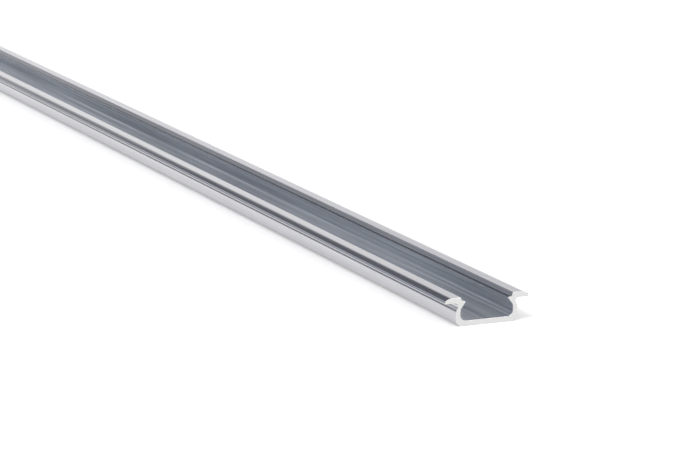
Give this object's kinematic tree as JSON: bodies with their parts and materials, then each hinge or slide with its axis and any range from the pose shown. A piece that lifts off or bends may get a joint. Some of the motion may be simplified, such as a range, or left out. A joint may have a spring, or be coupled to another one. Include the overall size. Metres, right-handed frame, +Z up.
{
  "type": "recessed led strip profile",
  "caption": "Straight bar of extruded aluminium with a U-shaped channel for an LED strip, hooks for a snap-in cover and outward flanges that rest on the edges of a slot.",
  "frame": {"origin": "middle of the underside, halfway along the bar", "axes": "+X across the bar, +Y along its length, +Z up, out of the open side"},
  "size_m": [0.022, 1, 0.007],
  "materials": {
    "aluminium": "satin, mill finish with fine lines along the bar"
  },
  "bodies": {
    "root": {"aluminium_profile": "aluminium"}
  },
  "joints": []
}
